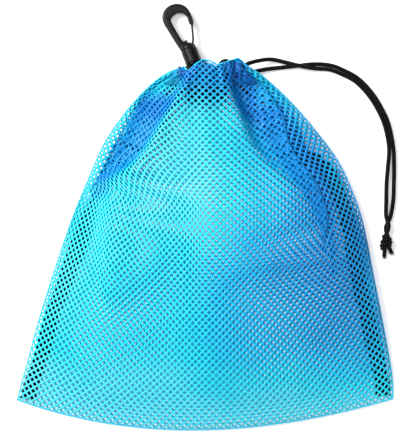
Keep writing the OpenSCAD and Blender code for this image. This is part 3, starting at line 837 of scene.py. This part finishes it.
def seam_tape(side, y_end):
    P = Lp if side < 0 else Rp
    oy = [-137, -100, -62, -25, 0, 13, 38, 51, 60]
    ox = [1.6, 3.0, 3.3, 4.2, 5.6, 7.2, 8.4, 9.6, 12] if side < 0 else [1.2, 4.0, 5.0, 6.0, 5.2, 4.6, 3.8, 8.0, 13]
    ow = [11, 11, 10.8, 12.6, 10.6, 7.6, 4.6, 4.4, 5] if side < 0 else [11, 11, 11, 10.6, 10.4, 10.6, 11.6, 13, 14]
    ot = [0, 0, 0, 0, 0, 0, 10, 40, 60] if side < 0 else [0] * 9
    n = 170
    s_end = float(np.interp(y_end, P[:, 1], np.linspace(0, 1, NS)))
    s = np.linspace(0.008, s_end, n)
    e = np.stack([np.interp(s, np.linspace(0, 1, NS), P[:, k]) for k in (0, 1)], axis=1)
    t = np.gradient(e, axis=0)
    t /= np.linalg.norm(t, axis=1)[:, None]
    inn = np.stack([t[:, 1], -t[:, 0]], axis=1) * (1 if side < 0 else -1)
    o, w, tilt = (np.interp(e[:, 1], oy, v) for v in (ox, ow, ot))
    tilt = np.radians(tilt)
    c = np.linspace(0, 1, 12)
    wob = 0.35 * np.sin(s * 95) + 0.25 * np.sin(s * 41 + 1)
    row = s * (NS - 1)
    mid_x = np.interp(row, np.arange(NS), (Lp[:, 0] + Rp[:, 0]) / 2)
    half = np.interp(row, np.arange(NS), (Rp[:, 0] - Lp[:, 0]) / 2)
    ri = np.clip(np.round(row).astype(int), 0, NS - 1)
    TOP = np.empty((n, 12, 3))
    BOT = np.empty((n, 12, 3))
    for k, ck in enumerate(c):
        xy = e + inn * (o + ck * w * np.cos(tilt) + wob * (0.3 + 0.7 * ck))[:, None]
        u = np.clip((xy[:, 0] - mid_x) / half, -1, 1)
        zb = np.array([np.interp(u[q], U[0], back[ri[q]]) for q in range(n)])
        zf = np.array([np.interp(u[q], U[0], front[ri[q]]) for q in range(n)])
        z0 = np.minimum(zb + 1.0 + ck * w * np.sin(tilt) + 0.4 * np.sin(s * 60 + 2 * ck) * ck, zf - 1.1)
        z0 = np.maximum(z0, zb + 0.45)
        z0[1:-1] = 0.25 * z0[:-2] + 0.5 * z0[1:-1] + 0.25 * z0[2:]
        h = 0.34 * (1 - (2 * ck - 1) ** 8) ** 0.5 + 0.06 - 0.10 * math.exp(-((ck - 0.5) / 0.08) ** 2)
        TOP[:, k] = np.stack([xy[:, 0], xy[:, 1], z0 + h], axis=1)
        BOT[:, k] = np.stack([xy[:, 0], xy[:, 1], z0 - h], axis=1)
    if side > 0:
        TOP, BOT = TOP[:, ::-1], BOT[:, ::-1]
    V, F = grid_solid(TOP, BOT)
    mid = (TOP[:, 5] + TOP[:, 6]) / 2
    return V, F, mid


def stitches(line, length, gap, rad, lift, zig=0.0):
    """A row of thread stitches: short bowed capsules along a line."""
    P, L = resample(line, 0.25)
    T, Sx, Ux = frames(P)
    VV, FF = [], []
    step = (length + gap) / 0.25
    k = 0
    o = 0
    while (k + 1) * step < len(P) - 1:
        a = int(k * step)
        b = int(k * step + length / 0.25)
        q = np.linspace(a, b, 6).astype(int)
        arch = np.array([-0.5, 0.45, 0.9, 0.9, 0.45, -0.5]) * rad
        zz = (np.linspace(-1, 1, 6) * zig * (1 if k % 2 else -1)) if zig else np.zeros(6)
        pts = P[q] + Ux[q] * (lift + arch)[:, None] + Sx[q] * zz[:, None]
        for j, rr in enumerate((0.4, 0.9, 1, 1, 0.9, 0.4)):
            for m in range(6):
                an = 2 * math.pi * m / 6
                VV.append(pts[j] + rad * rr * (math.cos(an) * Sx[q[j]] + math.sin(an) * Ux[q[j]]))
        for j in range(5):
            for m in range(6):
                FF.append([o + j * 6 + m, o + j * 6 + (m + 1) % 6, o + (j + 1) * 6 + (m + 1) % 6, o + (j + 1) * 6 + m])
        FF.append([o + m for m in range(5, -1, -1)])
        FF.append([o + 30 + m for m in range(6)])
        o += 36
        k += 1
    return np.array(VV), FF


def height_at(Z, x, y):
    j = int(np.argmin(np.abs(np.array([np.interp(x, X[r], Y[r]) for r in range(NS)]) - y)))
    return float(np.interp(x, X[j], Z[j]))


def tape_top(pts, w):
    """The seam tape's upper end, turned in with the gathers just under the outer layer."""
    P, _ = resample(route([(x, y, 0) for x, y in pts], 6), 1.2)
    t = np.gradient(P, axis=0)
    t /= np.linalg.norm(t, axis=1)[:, None]
    n = np.stack([-t[:, 1], t[:, 0]], axis=1)
    c = np.linspace(-0.5, 0.5, 9)
    top = np.empty((len(P), 9, 3))
    bot = np.empty((len(P), 9, 3))
    for k, ck in enumerate(c):
        for i in range(len(P)):
            x, y = P[i, 0] + n[i, 0] * ck * w, P[i, 1] + n[i, 1] * ck * w
            z = height_at(front, x, y) - 0.8
            h = 0.32 * (1 - (2 * ck) ** 8) ** 0.5 + 0.05
            top[i, k] = (x, y, z + h)
            bot[i, k] = (x, y, z - h)
    return grid_solid(top, bot)


TOPS = {"left": ([(-30, 92.5), (-25, 94.5), (-20.5, 98), (-18, 102)], 6.5), "right": ([(22, 104), (27, 101), (31, 96.5), (36, 92)], 7.5)}
for side, nm in ((-1, "left"), (1, "right")):
    V, F, mid = seam_tape(side, 44 if side < 0 else 57)
    V2, F2 = tape_top(*TOPS[nm])
    F = F + [[a + len(V) for a in f] for f in F2]
    V = np.concatenate([V, V2])
    ob = make_obj(nm + "_binding", V, F, M_TAPE, "bag")
    bm = bmesh.new()
    bm.from_mesh(ob.data)
    bmesh.ops.recalc_face_normals(bm, faces=bm.faces)
    bm.to_mesh(ob.data)
    bm.free()
    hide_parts(nm + "_seam_tape")
    V, F = stitches(mid + np.array([0, 0, 0.0]), 2.4, 0.7, 0.17, 0.05)
    th = make_obj(nm + "_binding_stitches", V, F, M_THREAD, "bag")

# blue thread along the casing's lower edge, front and back
for G, side, nm in ((GF, 1, "front"), (GB, -1, "back")):
    Nn = derived(G)[0]
    pp = np.linspace(-136, 136, 900)
    q0 = np.full(900, 99.2 * H0)
    ln = sample(G, pp, q0) + side * sample(Nn, pp, q0) * 0.42
    V, F = stitches(ln, 2.0, 0.6, 0.20, 0.0)
    make_obj("casing_stitches_" + nm, V, F, M_BTHREAD, "bag")

# ------------------------------------------------------------------ hook: local axes to the row's
TURN, DIP = math.radians(21), math.radians(4.5)
HM = Matrix.Translation((-12.15, 125.2, 6.2)) @ Matrix.Rotation(TURN, 4, "Z") @ Matrix.Rotation(-DIP, 4, "X")
HN = np.array(HM)


def to_world(V):
    V = np.asarray(V, float)
    return V @ HN[:3, :3].T + HN[:3, 3]


def swept(P, w, t, sides=28, power=2.6):
    """A bar of superellipse section along a path in the hook's plane; w is its width in the plane and t its thickness."""
    P = np.asarray(P, float)
    P3 = np.concatenate([P, np.zeros((len(P), 1))], axis=1)
    T = np.gradient(P3, axis=0)
    T /= np.linalg.norm(T, axis=1)[:, None]
    N = np.stack([-T[:, 1], T[:, 0], T[:, 2]], axis=1)
    th = np.linspace(0, 2 * math.pi, sides, endpoint=False)
    cx = np.sign(np.cos(th)) * np.abs(np.cos(th)) ** (2 / power)
    cz = np.sign(np.sin(th)) * np.abs(np.sin(th)) ** (2 / power)
    V = P3[:, None] + 0.5 * np.asarray(w)[:, None, None] * cx[None, :, None] * N[:, None] + 0.5 * np.asarray(t)[:, None, None] * cz[None, :, None] * np.array([0, 0, 1.0])
    n = len(P)
    F = [[i * sides + k, i * sides + (k + 1) % sides, (i + 1) * sides + (k + 1) % sides, (i + 1) * sides + k] for i in range(n - 1) for k in range(sides)]
    F += [list(range(sides))[::-1], [(n - 1) * sides + k for k in range(sides)]]
    return V.reshape(-1, 3), F


def lathe(profile, sides=64):
    """Solid turned about the local y axis; profile is (y, r)."""
    th = np.linspace(0, 2 * math.pi, sides, endpoint=False)
    V = np.array([(r * math.cos(a), y, r * math.sin(a)) for y, r in profile for a in th])
    n = len(profile)
    F = [[i * sides + k, (i + 1) * sides + k, (i + 1) * sides + (k + 1) % sides, i * sides + (k + 1) % sides] for i in range(n - 1) for k in range(sides)]
    F += [list(range(sides)), [(n - 1) * sides + k for k in range(sides)][::-1]]
    return V, F


def slab(poly, z0, z1):
    n = len(poly)
    V = [(x, y, z0) for x, y in poly] + [(x, y, z1) for x, y in poly]
    F = [list(range(n))[::-1], [n + k for k in range(n)]] + [[k, (k + 1) % n, n + (k + 1) % n, n + k] for k in range(n)]
    return np.array(V, float), F


def fused(name, parts, cuts, body, voxel=0.2, smooth=6):
    """Joins solids, cuts others away, and rounds every edge the way a moulding is rounded."""
    base = None
    VV, FF, o = [], [], 0
    for V, F in parts:
        VV.append(V)
        FF += [[a + o for a in f] for f in F]
        o += len(V)
    ob = make_obj(name, np.concatenate(VV), FF, M_ACETAL, None, scale=1.0)
    bm = bmesh.new()
    bm.from_mesh(ob.data)
    bmesh.ops.recalc_face_normals(bm, faces=bm.faces)
    bm.to_mesh(ob.data)
    bm.free()
    m = ob.modifiers.new("remesh", "REMESH")
    m.mode = "VOXEL"
    m.voxel_size = voxel
    tmp = []
    for i, (V, F) in enumerate(cuts):
        c = make_obj(name + "_cut%d" % i, V, F, M_ACETAL, None, scale=1.0)
        bm = bmesh.new()
        bm.from_mesh(c.data)
        bmesh.ops.recalc_face_normals(bm, faces=bm.faces)
        bm.to_mesh(c.data)
        bm.free()
        b = ob.modifiers.new("cut%d" % i, "BOOLEAN")
        b.operation = "DIFFERENCE"
        b.solver = "FAST"
        b.object = c
        tmp.append(c)
    if cuts:
        m = ob.modifiers.new("remesh2", "REMESH")
        m.mode = "VOXEL"
        m.voxel_size = voxel
    m = ob.modifiers.new("soft", "SMOOTH")
    m.factor = 0.5
    m.iterations = smooth
    dg = bpy.context.evaluated_depsgraph_get()
    me = bpy.data.meshes.new_from_object(ob.evaluated_get(dg))
    ob.modifiers.clear()
    old = ob.data
    ob.data = me
    me.name = name
    bpy.data.meshes.remove(old)
    for c in tmp:
        d = c.data
        bpy.data.objects.remove(c)
        bpy.data.meshes.remove(d)
    co = np.empty(len(me.vertices) * 3)
    me.vertices.foreach_get("co", co)
    w = to_world(co.reshape(-1, 3)) * MM
    me.vertices.foreach_set("co", w.ravel())
    me.materials.clear()
    me.materials.append(M_ACETAL)
    me.polygons.foreach_set("use_smooth", [True] * len(me.polygons))
    me.update()
    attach(ob, body)
    return ob


path = route([(-3.4, 0.6, 0), (-4.1, 4.0, 0), (-4.95, 8.0, 0), (-6.15, 15.0, 0), (-7.25, 21.5, 0), (-7.6, 25.0, 0), (-6.9, 28.2, 0), (-4.9, 30.6, 0), (-2.0, 32.0, 0),
              (1.0, 32.3, 0), (4.0, 31.6, 0), (6.6, 29.9, 0), (8.3, 27.4, 0), (9.1, 24.6, 0)], 6)
tt = np.linspace(0, 1, len(path))
wid = np.interp(tt, [0, 0.15, 0.3, 0.40, 0.52, 0.62, 0.72, 0.82, 0.92, 1], [4.6, 4.9, 5.2, 5.9, 7.4, 7.7, 7.2, 6.2, 4.6, 3.4])
bow = swept(path[:, :2], wid * 1.02, np.full(len(path), 6.5), power=4.2)
nose_p = route([(9.0, 26.4, 0), (9.3, 23.4, 0), (9.0, 20.6, 0), (8.5, 18.3, 0), (8.4, 17.4, 0)], 6)
nt_ = np.linspace(0, 1, len(nose_p))
nose = swept(nose_p[:, :2], np.interp(nt_, [0, 0.5, 0.85, 1], [3.8, 3.2, 2.2, 1.0]), np.interp(nt_, [0, 0.5, 1], [2.3, 2.3, 1.5]), power=3)
barrel = lathe([(-11.0, 2.6), (-11.0, 5.5), (-10.75, 5.95), (-10.3, 6.12), (-0.9, 6.15), (-0.45, 6.05), (-0.3, 5.62), (0.0, 5.5), (0.3, 5.6), (0.5, 5.86), (1.4, 5.85), (2.6, 5.35), (3.9, 4.4), (4.4, 3.6), (4.4, 0.01)])
web_in = slab([(-5.6, 0.5), (-7.2, 8.0), (-3.0, 10.5), (-2.2, 6.9), (-0.6, 6.3), (0.2, 6.9), (0.9, 6.5), (1.2, 4.2), (4.6, 4.1), (5.2, 0.6)], -3.0, 3.0)
socket = slab([(3.6 + 1.5 * math.cos(a), 2.2 + 1.5 * math.sin(a)) for a in np.linspace(0, 2 * math.pi, 24, endpoint=False)], -9, 9)
room = slab([(3.6, 2.2), (3.6 + 6 * math.sin(math.radians(-20)), 2.2 + 6 * math.cos(math.radians(-20))), (3.6 + 6 * math.sin(math.radians(20)), 2.2 + 6 * math.cos(math.radians(20))),
             (3.6 + 6 * math.sin(math.radians(58)), 2.2 + 6 * math.cos(math.radians(58)))], -9, 9)
seat = slab([(1.5 + 5.95 * math.cos(a), 22.8 + 5.95 * math.sin(a)) for a in np.linspace(0, 2 * math.pi, 64, endpoint=False)], -9, 9)
boreV, boreF = lathe([(-12.0, 2.5), (-3.6, 2.5)], 32)
hook = fused("hook_moulding", [bow, nose, barrel, web_in], [seat, socket, room, (boreV, boreF)], "hook", 0.18, 3)
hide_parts("hook_body")

leaf_p = route([(3.7, 2.3, 0), (4.9, 4.2, 0), (5.9, 6.4, 0), (6.8, 9.2, 0), (7.8, 12.8, 0), (8.8, 16.6, 0), (9.3, 18.4, 0)], 6)
lt = np.linspace(0, 1, len(leaf_p))
leaf = swept(leaf_p[:, :2], np.interp(lt, [0, 0.16, 0.3, 0.9, 1], [1.7, 1.7, 1.65, 1.6, 1.7]), np.full(len(leaf_p), 4.6), power=3.4)
beadV, beadF = slab([(3.6 + 1.2 * math.cos(a), 2.2 + 1.2 * math.sin(a)) for a in np.linspace(0, 2 * math.pi, 24, endpoint=False)], -2.9, 2.9)
head = slab([(8.4, 16.0), (9.5, 15.9), (10.6, 17.8), (11.0, 20), (10.95, 22.4), (10.3, 23.6), (8.0, 24.1), (7.75, 23), (7.75, 20.4), (7.9, 17.6)], -3.05, 3.05)
slot_cut = slab([(6, 26), (6, 17.0), (13, 17.0), (13, 26)], -1.4, 1.4)
gate = fused("hook_gate_spring", [leaf, (beadV, beadF), head], [slot_cut], "gate", 0.15, 4)
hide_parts("hook_gate")

eye_y = -14.6
post = lathe([(-11.5, 0.01), (-11.5, 2.3), (-4.1, 2.3), (-4.1, 0.01)], 32)
disc = lathe([(-12.05, 0.01), (-12.05, 5.6), (-11.9, 5.9), (-11.3, 5.9), (-11.15, 5.6), (-11.15, 0.01)])
yoke = slab([(-8.5, -11.25), (-8.6, -15.4), (-7.9, -16.1), (-7.0, -15.9), (-6.9, -12.1), (6.9, -12.1), (7.0, -15.9), (7.9, -16.1), (8.6, -15.4), (8.5, -11.25)], -1.5, 1.5)
th = np.linspace(0, 2 * math.pi, 32, endpoint=False)
barV = np.array([(x, eye_y + 1.5 * math.cos(a), 1.5 * math.sin(a)) for x in (-8.4, 8.4) for a in th])
barF = [[k, (k + 1) % 32, 32 + (k + 1) % 32, 32 + k] for k in range(32)] + [list(range(32))[::-1], [32 + k for k in range(32)]]
eye = fused("swivel_post_and_eye", [post, disc, yoke, (barV, barF)], [], "swivel", 0.17, 4)
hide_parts("swivel_eye")

# ------------------------------------------------------------------ webbing: loop on the eye's bar, strap, and the wide end sewn inside the neck
prof = [(-36.0, 0.7)] + [(-30, 0.62), (-24, 0.62), (-20.5, 0.75)] + [(-17.5, 1.5)] + [(eye_y + 2.05 * math.sin(a), 2.05 * math.cos(a)) for a in np.linspace(0, math.pi, 15)] \
    + [(-17.5, -1.5), (-20.5, -0.75), (-24, -0.62), (-30, -0.62), (-36.0, -0.7)]
prof = np.array(prof)
wx = np.linspace(-6.5, 6.5, 27)
tn = np.gradient(prof, axis=0)
tn /= np.linalg.norm(tn, axis=1)[:, None]
nn = np.stack([tn[:, 1], -tn[:, 0]], axis=1)
rib = 0.06 * np.cos(np.arange(27) * math.pi)
edge = 1 - 0.5 * (np.abs(wx) / 6.5) ** 10
TOP = np.empty((len(prof), 27, 3))
BOT = np.empty((len(prof), 27, 3))
taper = np.interp(prof[:, 0], [-36, -20, -15], [0.92, 0.92, 1.0])
for j in range(27):
    for arr, sgn in ((TOP, -1), (BOT, 1)):
        o = sgn * (0.38 * edge[j] + rib[j])
        arr[:, j, 0] = wx[j] * taper
        arr[:, j, 1] = prof[:, 0] + nn[:, 0] * o
        arr[:, j, 2] = prof[:, 1] + nn[:, 1] * o
Va, Fa = grid_solid(TOP, BOT)
Va = to_world(Va)
px_, py_ = np.meshgrid(np.linspace(-13.5, 17, 46), np.linspace(85.5, 108, 40), indexing="ij")
zz = 8.9 + 0.5 * np.sin(px_ / 5 + py_ / 9) + 0.05 * np.cos(px_ * 5)
rag = 0.5 * np.sin(py_ * 1.3) * (np.abs(px_) / 15) ** 6
TOP = np.stack([px_ + rag, py_ + 0.10 * px_, zz + 0.45], axis=-1)
BOT = np.stack([px_ + rag, py_ + 0.10 * px_, zz - 0.45], axis=-1)
Vb, Fb = grid_solid(TOP, BOT)
webb = make_obj("hook_webbing_loop", np.concatenate([Va, Vb]), Fa + [[a + len(Va) for a in f] for f in Fb], M_WEB, "bag")
bm = bmesh.new()
bm.from_mesh(webb.data)
bmesh.ops.recalc_face_normals(bm, faces=bm.faces)
bm.to_mesh(webb.data)
bm.free()
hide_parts("hook_webbing")
# box stitch on the wide end
box_line = route([(-9, 88, 0), (13, 89, 0), (13, 103, 0), (-9, 102, 0), (-9, 88, 0), (13, 103, 0)], 1)
box_line[:, 2] = 9.5 + 0.5 * np.sin(box_line[:, 0] / 5 + box_line[:, 1] / 9)
V, F = stitches(box_line, 2.2, 0.6, 0.2, 0.1)
make_obj("hook_webbing_stitches", V, F, M_THREAD, "bag")

# ------------------------------------------------------------------ floor and light
fl = make_obj("floor", [(-4000, -4000, 0), (4000, -4000, 0), (4000, 4000, 0), (-4000, 4000, 0)], [[0, 1, 2, 3]], mat_new("floor_white")[0], None)
p = fl.data.materials[0].node_tree.nodes["Principled BSDF"]
p.inputs["Base Color"].default_value = (0.95, 0.95, 0.95, 1)
p.inputs["Emission Color"].default_value = (1, 1, 1, 1)
p.inputs["Emission Strength"].default_value = 0.24
p.inputs["Roughness"].default_value = 0.9


def area(name, loc, target, size, power, color=(1, 1, 1)):
    d = bpy.data.lights.new(name, "AREA")
    d.energy = power
    d.size = size
    d.color = color
    o = bpy.data.objects.new(name, d)
    scene.collection.objects.link(o)
    o.location = loc
    o.rotation_euler = (Vector(target) - Vector(loc)).to_track_quat("-Z", "Y").to_euler()
    return o


area("key", (-1.1, 0.7, 1.1), (0, 0, 0), 0.9, 45)
area("fill", (1.0, -0.4, 1.5), (0, 0, 0), 1.8, 7)
area("top", (-0.2, 0.3, 1.9), (0, 0, 0), 0.8, 7)
world = bpy.data.worlds.new("world")
scene.world = world
world.use_nodes = True
world.node_tree.nodes["Background"].inputs[0].default_value = (1, 1, 1, 1)
world.node_tree.nodes["Background"].inputs[1].default_value = 0.32
